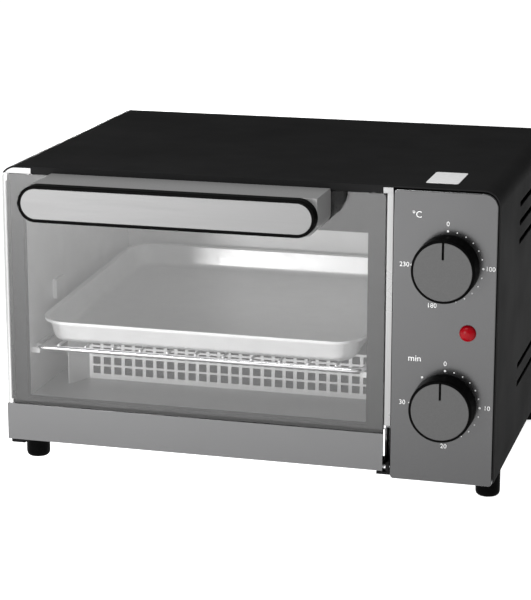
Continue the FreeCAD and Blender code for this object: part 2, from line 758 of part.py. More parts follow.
# Door stay: an arc about the hinge that slides through the slot in the front frame.
stay_in = 28
stay_out = 31.5
ring = cut("stay_ring",
           rod("stay_disc", "x", stay_out, door_right + 0.1, door_right + 1.3, hinge_y, hinge_z),
           rod("stay_hole", "x", stay_in, door_right - 1, door_right + 3, hinge_y, hinge_z))
quarter = box("stay_quarter", door_right - 1, door_right + 3, hinge_y - 2, hinge_y + 40,
              hinge_z + 1, hinge_z + 40)
arc = doc.addObject("Part::Common", "stay_arc")
arc.Base = ring
arc.Tool = quarter
stay_leg = box("stay_leg", door_right + 0.1, door_right + 1.3, hinge_y - 4, hinge_y + 3,
               hinge_z + 9, hinge_z + 29)
keep(fuse("door_stay_arm", arc, stay_leg), "door_stay_arm")

# Handle: black grip plate with a bright inlay, on a hollow bracket screwed through the pane.
grip_y = front - handle_reach
grip_radius = (handle_high - handle_low) / 2


def stadium(label, inset, y0, depth):
    """A plate with fully rounded ends, smaller than the grip by the inset all round."""
    owner = body(label)
    profile = sketch(owner, label + "_outline", "XZ_Plane", y0)
    rectangle(profile, handle_left + inset, handle_right - inset, handle_low + inset,
              handle_high - inset)
    pad(owner, label + "_pad", profile, depth)
    fillet(owner, label + "_ends", grip_radius - inset - 0.02, lambda c, d: d.x + d.z < 0.1)
    return owner


grip = stadium("handle_grip_body", 0, grip_y, grip_depth)
fillet(grip, "grip_back_edge", 1.5,
       lambda c, d: abs(c.y - grip_y.value - grip_depth.value) < 0.01)
fillet(grip, "grip_front_edge", 0.8, lambda c, d: abs(c.y - grip_y.value) < 0.01)
seat = stadium("grip_seat", 2.2, grip_y - 1, 2.2)
keep(cut("handle_grip", grip, seat), "handle_grip")
face_plate = stadium("handle_face_body", 2.35, grip_y + 0.3, 0.9)
keep(face_plate, "handle_face")

bracket_left = -144.8
bracket_right = 64.2
bracket_y0 = grip_y + grip_depth + 0.02
bracket_y1 = glass_y - 0.05
bracket_top = 229
bracket_low = 201.5
bracket_round = 10
thick = 3
hull = box("bracket_block", bracket_left, bracket_right, bracket_y0, bracket_y1, bracket_low,
           bracket_top)
soft = rounded("bracket_rounded", hull, bracket_round, lambda c, d: d.y > 20 and c.z < 210)
room = box("bracket_room", bracket_left + thick, bracket_right - thick,
           bracket_y0 + thick, bracket_y1 - thick, bracket_low + thick, bracket_top - thick)
room_soft = rounded("bracket_room_rounded", room, bracket_round - thick,
                    lambda c, d: d.y > 20 and c.z < 210)
mouth = box("bracket_mouth", bracket_left + bracket_round, bracket_right - bracket_round,
            bracket_y0 + thick, bracket_y1 - thick, bracket_low - 1, bracket_low + thick + 1)
relief = box("bracket_relief", bracket_left - 1, bracket_right + 1, front - 0.4,
             bracket_y1 + 1, 227, bracket_top + 1)
shell = cut("bracket_shell", soft, room_soft, mouth, relief)
bosses = []
bores = []
for i, x in enumerate(screw_spots):
    bosses.append(rod("boss" + str(i), "y", 5.5, bracket_y0 + 1, bracket_y1, x, screw_z))
    bores.append(rod("boss_bore" + str(i), "y", 2, bracket_y1 - 22, bracket_y1 + 1, x, screw_z))
keep(cut("handle_bracket", fuse("bracket_solid", shell, *bosses), *bores), "handle_bracket")

handle_screws = []
washers = []
for i, x in enumerate(screw_spots):
    item = screw("handle_screw_" + str(i), "y", x, glass_y + glass + 1, screw_z, head=4,
                 shank=1.95, length=24, rise=2.4)
    item.Placement.Rotation = FreeCAD.Rotation(V(1, 0, 0), 90)
    handle_screws.append(item)
    washers.append(lathe("handle_washer_" + str(i), "y",
                         [(2.1, 0.02), (6.5, 0.02), (6.5, 0.98), (2.1, 0.98)],
                         x, glass_y + glass, screw_z))
keep(group("handle_screws", *handle_screws), "handle_screws")
keep(group("handle_washers", *washers), "handle_washers")

# Wire rack: a frame of heavy wire with thin cross wires laid on it, and a raised wire at the
# back that the tray rests on.
rack_left = cavity_left + 2.2
rack_right = cavity_right - 2.2
rack_front = cavity_front - 3
rack_back = cavity_rear - 4
half = rack_wire / 2
wires = [
    rod("rack_front_wire", "x", half, rack_left, rack_right, rack_front + half, rack_z),
    rod("rack_back_wire", "x", half, rack_left, rack_right, rack_back - half, rack_z),
    rod("rack_left_wire", "y", half, rack_front, rack_back, rack_left + half, rack_z),
    rod("rack_right_wire", "y", half, rack_front, rack_back, rack_right - half, rack_z),
]
bar_count = 11
span = (rack_right - rack_left) / (bar_count + 1)
for i in range(bar_count):
    wires.append(rod("rack_bar" + str(i), "y", rack_bar / 2, rack_front + 0.6, rack_back - 0.6,
                     rack_left + span * (i + 1), rack_z + half + rack_bar / 2 - 0.4))
rest_y = 119
rest_z = 103.7
wires.append(rod("rack_rest", "x", 1.5, rack_left + half, rack_right - half, rest_y, rest_z))
for side_name, x in (("left", rack_left + half), ("right", rack_right - half)):
    wires.append(rod("rack_riser_" + side_name, "z", 1.5, rack_z, rest_z, x, rest_y))
keep(fuse("wire_rack", *wires), "wire_rack")


def tray_form(label, inset, low, high, draft):
    """A tapered block with rounded corners, smaller at the bottom by the draft."""
    owner = body(label)
    plan = sketch(owner, label + "_plan", "XY_Plane", high)
    rectangle(plan, tray_left + inset, tray_right - inset, tray_front + inset, tray_back - inset)
    owner.newObject("PartDesign::Pad", label + "_pad")
    block = owner.Group[-1]
    block.Profile = plan
    bind(block, "Length", size(high) - low)
    block.Reversed = True
    block.TaperAngle = -draft
    owner.Tip = block
    doc.recompute()
    fillet(owner, label + "_corners", tray_radius - inset,
           lambda c, d: d.z > 5 and d.x < 10 and d.y < 10)
    return owner


# Baking tray: pressed aluminium with a rolled rim. It lies on the rack's front and on the
# raised wire at its back, so it slopes.
tray_sheet = 0.8
tray_tilt = 2.7
outer_form = tray_form("tray_outer", 3.2, tray_floor, tray_rim - 1, 14)
inner_form = tray_form("tray_inner", 3.2 + tray_sheet, tray_floor + tray_sheet, tray_rim + 0.5, 14)
tray_shell = cut("tray_shell", outer_form, inner_form)


def rim_form(label, inset, low, high):
    """A straight-sided plate with the tray's rounded corners."""
    owner = body(label)
    plan = sketch(owner, label + "_plan", "XY_Plane", low)
    rectangle(plan, tray_left + inset, tray_right - inset, tray_front + inset, tray_back - inset)
    pad(owner, label + "_pad", plan, size(high) - low)
    fillet(owner, label + "_corners", tray_radius - inset,
           lambda c, d: d.z > 1 and d.x < 1 and d.y < 1)
    return owner


rim_outer = rim_form("rim_outer", 0, tray_rim - 2.2, tray_rim)
fillet(rim_outer, "rim_round", 0.9, lambda c, d: d.z < 0.1)
rim_inner = rim_form("rim_inner", 3.9, tray_rim - 4, tray_rim + 1)
rim = cut("tray_rim_ring", rim_outer, rim_inner)
tray = fuse("baking_tray", tray_shell, rim)
tray.Placement = FreeCAD.Placement(
    V(0, 0, 0), FreeCAD.Rotation(V(1, 0, 0), tray_tilt),
    V(0, tray_front.value, tray_floor.value))
keep(tray, "baking_tray")

# Every object is checked before anything is written.
doc.recompute()
for obj in doc.Objects:
    if "Invalid" in obj.State or "Error" in obj.State:
        raise RuntimeError(obj.Label + " failed: " + str(obj.State))
os.makedirs("parts", exist_ok=True)
for old in os.listdir("parts"):
    os.remove(os.path.join("parts", old))
for obj in nodes:
    if obj.Shape.isNull() or not obj.Shape.isValid():
        raise RuntimeError(obj.Label + " has no valid shape")
    obj.Shape.exportStep("parts/" + obj.Label + ".step")
    bound = obj.Shape.BoundBox
    print("%-22s solids %2d  volume %9.0f  x %7.1f %7.1f  y %7.1f %7.1f  z %6.1f %6.1f" % (
        obj.Label, len(obj.Shape.Solids), obj.Shape.Volume, bound.XMin, bound.XMax,
        bound.YMin, bound.YMax, bound.ZMin, bound.ZMax))
print(len(nodes), "nodes")
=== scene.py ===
import bpy
import math
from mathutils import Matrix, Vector


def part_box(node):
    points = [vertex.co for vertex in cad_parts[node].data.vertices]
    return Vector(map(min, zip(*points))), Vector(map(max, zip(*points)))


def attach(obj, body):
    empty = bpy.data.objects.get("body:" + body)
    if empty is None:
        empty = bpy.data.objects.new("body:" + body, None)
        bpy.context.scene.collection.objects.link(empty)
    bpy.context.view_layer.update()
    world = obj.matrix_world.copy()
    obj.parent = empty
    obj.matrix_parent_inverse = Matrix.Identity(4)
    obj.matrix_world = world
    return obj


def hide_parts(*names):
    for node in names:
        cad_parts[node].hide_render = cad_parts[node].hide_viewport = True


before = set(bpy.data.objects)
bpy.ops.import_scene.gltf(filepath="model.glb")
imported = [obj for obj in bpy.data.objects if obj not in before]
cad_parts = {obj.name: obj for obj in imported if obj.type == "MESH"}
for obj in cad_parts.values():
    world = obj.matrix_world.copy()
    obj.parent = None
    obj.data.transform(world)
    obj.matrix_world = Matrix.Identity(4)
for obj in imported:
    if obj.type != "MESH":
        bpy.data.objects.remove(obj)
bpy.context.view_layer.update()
MM = 0.001

# Table top, light and camera: a plain pale top in a white studio. A soft lamp at the left lights
# the front, one above the door lights the tray and one behind lights the back. The pane and the
# panel mirror a bright pool of painted light that glows far out on the top.
scene = bpy.context.scene
scene.view_settings.view_transform = "Standard"


def finish_of(name, colour, metallic=0.0, roughness=0.5, specular=0.5):
    """A new material: its node tree, and its shader with the even values set on it."""
    made = bpy.data.materials.new(name)
    made.use_nodes = True
    tree = made.node_tree
    shader = tree.nodes["Principled BSDF"]
    shader.inputs["Base Color"].default_value = (*colour, 1)
    shader.inputs["Metallic"].default_value = metallic
    shader.inputs["Roughness"].default_value = roughness
    shader.inputs["Specular IOR Level"].default_value = specular
    return made, tree, shader


def noise(tree, scale, detail=2.0, stretch=(1, 1, 1)):
    """Noise on the piece's own coordinates, drawn out along the axes that stretch makes small."""
    place = tree.nodes.new("ShaderNodeTexCoord")
    turn = tree.nodes.new("ShaderNodeMapping")
    turn.inputs["Scale"].default_value = stretch
    grain = tree.nodes.new("ShaderNodeTexNoise")
    grain.inputs["Scale"].default_value = scale
    grain.inputs["Detail"].default_value = detail
    tree.links.new(place.outputs["Object"], turn.inputs["Vector"])
    tree.links.new(turn.outputs["Vector"], grain.inputs["Vector"])
    return grain.outputs["Fac"]


def spread(tree, source, socket, low, high):
    """Carry a pattern to a socket as a value from low to high."""
    span = tree.nodes.new("ShaderNodeMapRange")
    span.inputs["From Min"].default_value = 0.3
    span.inputs["From Max"].default_value = 0.7
    span.inputs["To Min"].default_value = low
    span.inputs["To Max"].default_value = high
    tree.links.new(source, span.inputs["Value"])
    tree.links.new(span.outputs["Result"], socket)


def tint(tree, source, shader, dark, light):
    """Carry a pattern to the base colour, from a dark to a light tone."""
    ramp = tree.nodes.new("ShaderNodeValToRGB")
    ramp.color_ramp.elements[0].position = 0.3
    ramp.color_ramp.elements[0].color = (*dark, 1)
    ramp.color_ramp.elements[1].position = 0.7
    ramp.color_ramp.elements[1].color = (*light, 1)
    tree.links.new(source, ramp.inputs["Fac"])
    tree.links.new(ramp.outputs["Color"], shader.inputs["Base Color"])


def bump(tree, source, shader, strength, depth):
    """Relief of a given depth in metres from a pattern."""
    relief = tree.nodes.new("ShaderNodeBump")
    relief.inputs["Strength"].default_value = strength
    relief.inputs["Distance"].default_value = depth
    tree.links.new(source, relief.inputs["Height"])
    tree.links.new(relief.outputs["Normal"], shader.inputs["Normal"])


pale, tree, shader = finish_of("pale_top", (0.6, 0.6, 0.6), roughness=0.8, specular=0.0)
tint(tree, noise(tree, 3), shader, (0.59, 0.59, 0.59), (0.61, 0.61, 0.61))
shader.inputs["Emission Color"].default_value = (1, 1, 1, 1)
# The top glows evenly all over, and far out in front a much brighter glowing pool is painted on
# it: painted light for the pane and the panel to mirror.
painted_pool_reach = 1.6
painted_pool_centre = (-0.8, -7.2)
plain_glow = 0.8
painted_pool_glow = 4.0
top_size = 24
top_centre = (0, 6, 0)
place = tree.nodes.new("ShaderNodeTexCoord")
turn = tree.nodes.new("ShaderNodeMapping")
turn.inputs["Location"].default_value = (-painted_pool_centre[0] / painted_pool_reach,
                                         -painted_pool_centre[1] / painted_pool_reach, 0)
turn.inputs["Scale"].default_value = (1 / painted_pool_reach, 1 / painted_pool_reach, 1)
painted_pool = tree.nodes.new("ShaderNodeTexGradient")
painted_pool.gradient_type = "SPHERICAL"
glow = tree.nodes.new("ShaderNodeMapRange")
glow.inputs["To Min"].default_value = plain_glow
glow.inputs["To Max"].default_value = painted_pool_glow
tree.links.new(place.outputs["Object"], turn.inputs["Vector"])
tree.links.new(turn.outputs["Vector"], painted_pool.inputs["Vector"])
tree.links.new(painted_pool.outputs["Fac"], glow.inputs["Value"])
tree.links.new(glow.outputs["Result"], shader.inputs["Emission Strength"])
bpy.ops.object.select_all(action="DESELECT")
bpy.ops.mesh.primitive_plane_add(size=top_size, location=top_centre)
floor = bpy.context.object
floor.name = "pale_floor"
floor.data.materials.append(pale)

sky_strength = 0.52
low_sky, high_sky = 0.08, 1
fade_start, fade_end = 0.35, 0.85
white_backdrop = 2.4
sky = bpy.data.worlds.new("studio")
sky.use_nodes = True
tree = sky.node_tree
compass = tree.nodes.new("ShaderNodeTexCoord")
height = tree.nodes.new("ShaderNodeSeparateXYZ")
half_up = tree.nodes.new("ShaderNodeMapRange")
half_up.inputs["From Min"].default_value = -1
fade = tree.nodes.new("ShaderNodeValToRGB")
fade.color_ramp.elements[0].position = fade_start
fade.color_ramp.elements[0].color = (low_sky, low_sky, low_sky, 1)
fade.color_ramp.elements[1].position = fade_end
fade.color_ramp.elements[1].color = (high_sky, high_sky, high_sky, 1)
tree.links.new(compass.outputs["Generated"], height.inputs["Vector"])
tree.links.new(height.outputs["Z"], half_up.inputs["Value"])
tree.links.new(half_up.outputs["Result"], fade.inputs["Fac"])
backdrop = tree.nodes.new("ShaderNodeMixRGB")
backdrop.inputs["Color2"].default_value = (white_backdrop, white_backdrop, white_backdrop, 1)
seen = tree.nodes.new("ShaderNodeLightPath")
tree.links.new(seen.outputs["Is Camera Ray"], backdrop.inputs["Fac"])
tree.links.new(fade.outputs["Color"], backdrop.inputs["Color1"])
tree.links.new(backdrop.outputs["Color"], tree.nodes["Background"].inputs["Color"])
tree.nodes["Background"].inputs["Strength"].default_value = sky_strength
scene.world = sky


def lamp(name, place, aim, size, power):
    """A soft square lamp that faces a point."""
    bpy.ops.object.light_add(type="AREA", location=place)
    made = bpy.context.object
    made.name = name
    made.data.shape = "SQUARE"
    made.data.size = size
    made.data.energy = power
    made.visible_camera = False
    facing = Vector(aim) - Vector(place)
    made.rotation_euler = facing.to_track_quat("-Z", "Y").to_euler()


lamp("key_lamp", place=(-0.75, -1.75, 0.26), aim=(0, 0, 0.16), size=0.3, power=15)
lamp("upper_lamp", place=(-0.1, -0.55, 0.75), aim=(0.08, -0.1, 0.2), size=0.2, power=3.5)
lamp("back_lamp", place=(-0.9, 1.9, 0.14), aim=(0, 0.1, 0.1), size=0.2, power=24)

camera_place = (0.41375, -1.55827, 0.52551)
camera_turn = math.radians(15.449)
camera_dip = math.radians(14.385)
bpy.ops.object.camera_add(location=camera_place,
                          rotation=(math.pi / 2 - camera_dip, 0, camera_turn))
camera = bpy.context.object
camera.data.lens = 129.47
camera.data.shift_x = 0.0067
camera.data.shift_y = 0.0094
scene.camera = camera

# Cavity: five plates of bright rolled steel, folded and spot welded behind the front frame,
# with a pressed ledge for the rack on each side. Rolling leaves a faint grain along the sheet.
bright, tree, shader = finish_of("bright_rolled_steel", (0.8, 0.8, 0.8), metallic=0.35,
                                 roughness=0.4)
grain = noise(tree, 60, 4, (0.05, 1, 1))
tint(tree, grain, shader, (0.76, 0.76, 0.76), (0.86, 0.86, 0.86))
spread(tree, grain, shader.inputs["Roughness"], 0.36, 0.48)
bump(tree, grain, shader, 0.15, 0.0002)


def wear(material, *names):
    """Give CAD nodes that keep their own shape their finish."""
    for name in names:
        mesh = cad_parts[name].data
        mesh.materials.clear()
        mesh.materials.append(material)


wear(bright, "cavity_roof", "cavity_left_wall", "cavity_right_wall", "cavity_back",
     "rack_runner_left", "rack_runner_right", "heater_guard")
heat_blued, tree, shader = finish_of("heat_stained_steel", (0.3, 0.3, 0.3), metallic=0.5,
                                     roughness=0.4)
stain = noise(tree, 18, 4, (0.4, 1, 1))
tint(tree, stain, shader, (0.24, 0.24, 0.24), (0.36, 0.36, 0.36))
spread(tree, stain, shader.inputs["Roughness"], 0.34, 0.46)
wear(heat_blued, "cavity_floor")

# Heating elements: bent steel tubes that heat has oxidised grey-brown. White ceramic bushes carry
# them through the cavity's side walls, and the terminal block and lamp holder are ceramic too.
element, tree, shader = finish_of("oxidised_element", (0.2, 0.19, 0.18), metallic=0.6,
                                  roughness=0.5)
tint(tree, noise(tree, 150, 3, (0.2, 1, 1)), shader, (0.14, 0.13, 0.12), (0.26, 0.25, 0.24))
wear(element, "heater_lower_front", "heater_lower_rear", "heater_upper_front",
     "heater_upper_rear")
clay, tree, shader = finish_of("white_ceramic", (0.8, 0.78, 0.73), roughness=0.6)
tint(tree, noise(tree, 400, 3), shader, (0.74, 0.72, 0.66), (0.84, 0.82, 0.77))
wear(clay, "ceramic_bushes", "terminal_block", "pilot_lamp_holder")

# Front frame: one steel pressing. Its flat face has a satin finish and is painted near black as
# painted shade, and the rib beside the door and the caps at the door's upper corners are a bright
# copy of the same steel as painted highlight. The cover's edge closes on it.
painted_shade_frame, tree, shader = finish_of("painted_shade_frame", (0.012, 0.012, 0.012), roughness=0.6,
                                      specular=0.05)
upright_grain = (1, 1, 0.05)
tint(tree, noise(tree, 90, 3, upright_grain), shader, (0.011, 0.011, 0.011),
     (0.013, 0.013, 0.013))
spread(tree, noise(tree, 40, 2), shader.inputs["Roughness"], 0.4, 0.5)
# A bright copy of the frame's steel for the rib and caps: painted highlight.
highlight_trim, tree, shader = finish_of("painted_highlight_trim", (0.24, 0.24, 0.24), metallic=0.7, roughness=0.3)
tint(tree, noise(tree, 90, 3, upright_grain), shader, (0.22, 0.22, 0.22), (0.26, 0.26, 0.26))
spread(tree, noise(tree, 60, 2), shader.inputs["Roughness"], 0.26, 0.36)
pressed_edge = 0.25 * MM
proud_of_face = 0.2 * MM


def object_mode():
    """Close edit mode on the active piece."""
    bpy.ops.object.mode_set(mode="OBJECT")


def edit_whole():
    """Open the active piece in edit mode with all of it selected."""
    bpy.ops.object.mode_set(mode="EDIT")
    bpy.ops.mesh.select_all(action="SELECT")


def alone(piece):
    """Select one piece and make it the active one, in object mode."""
    if bpy.context.mode != "OBJECT":
        object_mode()
    bpy.ops.object.select_all(action="DESELECT")
    piece.select_set(True)
    bpy.context.view_layer.objects.active = piece


def copy_of(node, name):
    """A copy of a CAD node, its loose triangles joined back into whole faces."""
    piece = bpy.data.objects.new(name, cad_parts[node].data.copy())
    scene.collection.objects.link(piece)
    alone(piece)
    edit_whole()
    bpy.ops.mesh.remove_doubles(threshold=0.002 * MM)
    bpy.ops.mesh.dissolve_limited(angle_limit=math.radians(0.4))
    object_mode()
    bpy.ops.mesh.customdata_custom_splitnormals_clear()
    return piece


def apply_all(piece):
    """Make a piece's modifiers part of its mesh."""
    alone(piece)
    for modifier in list(piece.modifiers):
        bpy.ops.object.modifier_apply(modifier=modifier.name)


def soften(piece, width, steps=2):
    """Break every sharp edge a little, as pressing, moulding or deburring leaves it."""
    edge = piece.modifiers.new("soften", "BEVEL")
    edge.width = width
    edge.segments = steps
    edge.limit_method = "ANGLE"
    edge.angle_limit = math.radians(40)
    edge.use_clamp_overlap = True
    apply_all(piece)


def done(piece, materials, body, slot, *nodes, smooth=35):
    """Shade a finished piece, give it its finish and fix it to its body."""
    alone(piece)
    bpy.ops.object.shade_smooth_by_angle(angle=math.radians(smooth))
    flat = piece.modifiers.new("flat_faces_stay_flat", "WEIGHTED_NORMAL")
    flat.keep_sharp = True
    apply_all(piece)
    piece.data.materials.clear()
    for material in materials:
        piece.data.materials.append(material)
    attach(piece, body)
    if nodes:
        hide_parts(*nodes)


surround = copy_of("front_frame", "front_frame_pressing")
soften(surround, pressed_edge)
done(surround, [painted_shade_frame, highlight_trim], "oven", "bright_steel", "front_frame")
frame_face_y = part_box("control_panel")[1].y
# What stands proud of the flat face, the rib and the caps, gets the bright copy: painted
# highlight.
for face in surround.data.polygons:
    if face.center.y < frame_face_y - proud_of_face:
        face.material_index = 1

# Wire rack: heavy plated wire bent into a frame with round corners, thin wires welded on top,
# and a raised wire near the back that carries the tray's rear end.
plated, tree, shader = finish_of("bright_plating", (0.85, 0.85, 0.86), metallic=0.9,
                                 roughness=0.2)
plating = noise(tree, 200, 2)
tint(tree, plating, shader, (0.80, 0.80, 0.815), (0.90, 0.90, 0.905))
spread(tree, plating, shader.inputs["Roughness"], 0.15, 0.26)
low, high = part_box("wire_rack")
heavy = 4 * MM
thin = 2.2 * MM
rest = 3 * MM
bend = 9 * MM
cross_wires = 11
wire_end = 0.5 * MM
weld_sink = 0.4 * MM
rest_setback = 17 * MM


def ring_plate(name, low, high, level, corner, steps):
    """A flat plate with rounded corners, from a plane whose corners are bevelled."""
    bpy.ops.object.select_all(action="DESELECT")
    middle = ((low.x + high.x) / 2, (low.y + high.y) / 2, level)
    bpy.ops.mesh.primitive_plane_add(size=1, location=middle)
    piece = bpy.context.object
    piece.name = piece.data.name = name
    piece.scale = (high.x - low.x, high.y - low.y, 1)
    bpy.ops.object.transform_apply()
    edit_whole()
    bpy.ops.mesh.bevel(offset=corner, segments=steps, affect="VERTICES")
    object_mode()
    return piece


inset = Vector((heavy / 2, heavy / 2, 0))
hoop = ring_plate("rack_wires", low + inset, high - inset, low.z + heavy / 2, bend, 6)
alone(hoop)
edit_whole()
bpy.ops.mesh.delete(type="ONLY_FACE")
object_mode()
bpy.ops.object.convert(target="CURVE")
hoop.data.bevel_depth = heavy / 2
hoop.data.bevel_resolution = 3
bpy.ops.object.convert(target="MESH")


def bar(name, start, end, radius):
    """A straight round wire between two points."""
    bpy.ops.object.select_all(action="DESELECT")
    run = Vector(end) - Vector(start)
    turn = run.to_track_quat("Z", "Y").to_euler()
    bpy.ops.mesh.primitive_cylinder_add(vertices=12, radius=radius, depth=run.length,
                                        location=(Vector(start) + Vector(end)) / 2,
                                        rotation=turn)
    piece = bpy.context.object
    piece.name = piece.data.name = name
    bpy.ops.object.transform_apply()
    return piece


def joined(name, *pieces):
    """Several shaped pieces as one object."""
    bpy.ops.object.select_all(action="DESELECT")
    for piece in pieces:
        piece.select_set(True)
    bpy.context.view_layer.objects.active = pieces[0]
    bpy.ops.object.join()
    pieces[0].name = pieces[0].data.name = name
    return pieces[0]


cross_z = low.z + heavy + thin / 2 - weld_sink
pitch = (high.x - low.x) / (cross_wires + 1)
wires = [hoop]
for i in range(cross_wires):
    x = low.x + pitch * (i + 1)
    wire = bar("cross_wire", (x, low.y + wire_end, cross_z), (x, high.y - wire_end, cross_z),
               thin / 2)
    soften(wire, wire_end)
    wires.append(wire)
rest_y = high.y - rest_setback
rest_z = high.z - rest / 2
left, right = low.x + heavy / 2, high.x - heavy / 2
wires.append(bar("rest_wire", (left, rest_y, rest_z), (right, rest_y, rest_z), rest / 2))
for x in (left, right):
    wires.append(bar("riser", (x, rest_y, low.z + heavy / 2), (x, rest_y, rest_z), rest / 2))
done(joined("rack_wires", *wires), [plated], "rack", "chrome_wire", "wire_rack", smooth=50)

# Baking tray: one sheet of aluminium, drawn down between round corners, its rim rolled over.
# It lies with a slight slope, on the rack's front and on the raised wire at the back.
dull_aluminium, tree, shader = finish_of("dull_aluminium", (0.9, 0.9, 0.9), metallic=0.55,
                                         roughness=0.36)
drawn = noise(tree, 80, 3)
tint(tree, drawn, shader, (0.86, 0.86, 0.86), (0.93, 0.93, 0.93))
spread(tree, drawn, shader.inputs["Roughness"], 0.32, 0.42)
bump(tree, noise(tree, 35, 2), shader, 0.1, 0.0004)
low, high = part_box("baking_tray")
slope = math.radians(2.7)
run = (high.y - low.y) / math.cos(slope)
tray_corner = 22 * MM
rim_crown = 0.7 * MM
rim_flat = 2.6 * MM
rim_turn = 0.5 * MM
rim_drop = 1.6 * MM
gauge = 0.8 * MM
# Each step of the draw is how far down and how far in it goes, in millimetres.
draw_steps = ((0.2, 0.5), (0.5, 0.5), (12.7, 2.8), (2.4, 1.0), (1.2, 1.6), (0.3, 1.8))


def choose(piece, kind, test):
    """Open a piece in edit mode with the edges or faces chosen that pass the test of their
    middle and their run or normal."""
    alone(piece)
    bpy.ops.object.mode_set(mode="EDIT")
    bpy.ops.mesh.select_mode(type=kind)
    bpy.ops.mesh.select_all(action="DESELECT")
    object_mode()
    mesh = piece.data
    for face in mesh.polygons:
        face.select = kind == "FACE" and test(face.center, face.normal)
    if kind == "EDGE":
        for edge in mesh.edges:
            start, end = (mesh.vertices[i].co for i in edge.vertices)
            edge.select = test((start + end) / 2, end - start)
    bpy.ops.object.mode_set(mode="EDIT")


pan = ring_plate("tray_pressing", Vector((low.x, -run, 0)), Vector((high.x, 0, 0)), 0,
                 tray_corner, 10)
choose(pan, "FACE", lambda c, n: True)
bpy.ops.mesh.inset(thickness=rim_crown)
bpy.ops.mesh.inset(thickness=rim_flat)
for depth, narrowing in draw_steps:
    bpy.ops.mesh.inset(thickness=narrowing * MM, use_boundary=True)
    bpy.ops.transform.translate(value=(0, 0, -depth * MM))
bpy.ops.mesh.select_mode(type="EDGE")
bpy.ops.mesh.select_all(action="DESELECT")
bpy.ops.mesh.select_non_manifold(extend=False)
for fall in (rim_turn, rim_drop):
    bpy.ops.mesh.extrude_region_move(TRANSFORM_OT_translate={"value": (0, 0, -fall)})
object_mode()
wall = pan.modifiers.new("gauge", "SOLIDIFY")
wall.thickness = gauge
wall.offset = -1
apply_all(pan)
pan.rotation_euler.x = slope
pan.location = (0, high.y, high.z)
bpy.ops.object.transform_apply()
done(pan, [dull_aluminium], "tray", "aluminium", "baking_tray", smooth=50)

# Base and feet: a zinc coated plate, like the heat shield and the timer's case. Four black
# mouldings with a recess for the screw's head are screwed up into it.
zinc, tree, shader = finish_of("zinc_coated_steel", (0.45, 0.46, 0.47), metallic=0.9,
                               roughness=0.45)
cells = noise(tree, 120, 3)
tint(tree, cells, shader, (0.40, 0.41, 0.42), (0.52, 0.53, 0.54))
spread(tree, cells, shader.inputs["Roughness"], 0.38, 0.52)
wear(zinc, "base_plate", "heat_shield", "timer_body")
moulded_black, tree, shader = finish_of("moulded_black", (0.002, 0.002, 0.002), roughness=0.45,
                                        specular=0.012)
tint(tree, noise(tree, 600, 2), shader, (0.0016, 0.0016, 0.0016), (0.0026, 0.0026, 0.0026))
spread(tree, noise(tree, 1500, 2), shader.inputs["Roughness"], 0.40, 0.50)
bump(tree, noise(tree, 2500, 1), shader, 0.1, 0.00003)


def turned(name, centre, axis, rings, sides=48):
    """A round closed piece drawn up from a circle: each ring is (radius, distance along)."""
    bpy.ops.object.select_all(action="DESELECT")
    along = {"x": Vector((1, 0, 0)), "y": Vector((0, 1, 0)), "z": Vector((0, 0, 1))}[axis]
    radius, last = rings[0]
    bpy.ops.mesh.primitive_circle_add(vertices=sides, radius=radius, fill_type="NGON",
                                      location=Vector(centre) + along * last,
                                      rotation=along.to_track_quat("Z", "Y").to_euler())
    piece = bpy.context.object
    piece.name = piece.data.name = name
    bpy.ops.object.transform_apply()
    bpy.ops.object.mode_set(mode="EDIT")
    bpy.ops.mesh.select_mode(type="FACE")
    bpy.ops.mesh.select_all(action="SELECT")
    for wide, far in rings[1:]:
        bpy.ops.mesh.extrude_region_move(
            TRANSFORM_OT_translate={"value": along * (far - last)})
        bpy.ops.transform.resize(value=(wide / radius,) * 3,
                                 center_override=Vector(centre) + along * far)
        radius, last = wide, far
    bpy.ops.mesh.select_all(action="SELECT")
    bpy.ops.mesh.normals_make_consistent(inside=False)
    object_mode()
    return piece


def copied(piece, name, shift):
    """Another of the same piece, with its own mesh, moved in its mesh."""
    alone(piece)
    bpy.ops.object.duplicate()
    other = bpy.context.object
    other.name = other.data.name = name
    other.location = shift
    bpy.ops.object.transform_apply()
    return other


low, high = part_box("foot_front_left")
middle = (low + high) / 2
foot_radius = (high.x - low.x) / 2
screw_hole = 2.6 * MM
foot = turned("foot_front_left_moulding", (middle.x, middle.y, 0), "z", [
    (screw_hole, 5 * MM), (screw_hole, 0.6 * MM), (3.4 * MM, 0), (foot_radius - 3.4 * MM, 0),
    (foot_radius - 1.6 * MM, 0.5 * MM), (foot_radius - 0.5 * MM, 1.6 * MM),
    (foot_radius - 0.1 * MM, 3 * MM), (foot_radius, 4 * MM), (foot_radius, high.z - 0.4 * MM),
    (foot_radius - 0.4 * MM, high.z),
])
for corner in ("front_right", "rear_left", "rear_right"):
    node = "foot_" + corner
    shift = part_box(node)[0] - low
    done(copied(foot, node + "_moulding", shift), [moulded_black], "oven", "black_plastic", node)
done(foot, [moulded_black], "oven", "black_plastic", "foot_front_left")
wear(moulded_black, "cord_gland", "rear_spacers", "glass_gasket")

# Outer cover: one sheet of black stoved steel folded over the top and sides, with louvre slots
# punched through the sides and a lip turned down over the door.
black_paint, tree, shader = finish_of("black_stoved_paint", (0.0125, 0.0125, 0.0127),
                                      roughness=0.5, specular=0.004)
tint(tree, noise(tree, 40, 3), shader, (0.0117, 0.0117, 0.0119), (0.0134, 0.0134, 0.0136))
spread(tree, noise(tree, 14, 3), shader.inputs["Roughness"], 0.46, 0.56)
bump(tree, noise(tree, 900, 1), shader, 0.12, 0.00005)
sheet_edge = 0.2 * MM
cover = copy_of("outer_cover", "outer_cover_fold")
soften(cover, sheet_edge)
done(cover, [black_paint], "oven", "black_enamel", "outer_cover", smooth=25)
wear(black_paint, "hinge_bracket_left", "hinge_bracket_right")

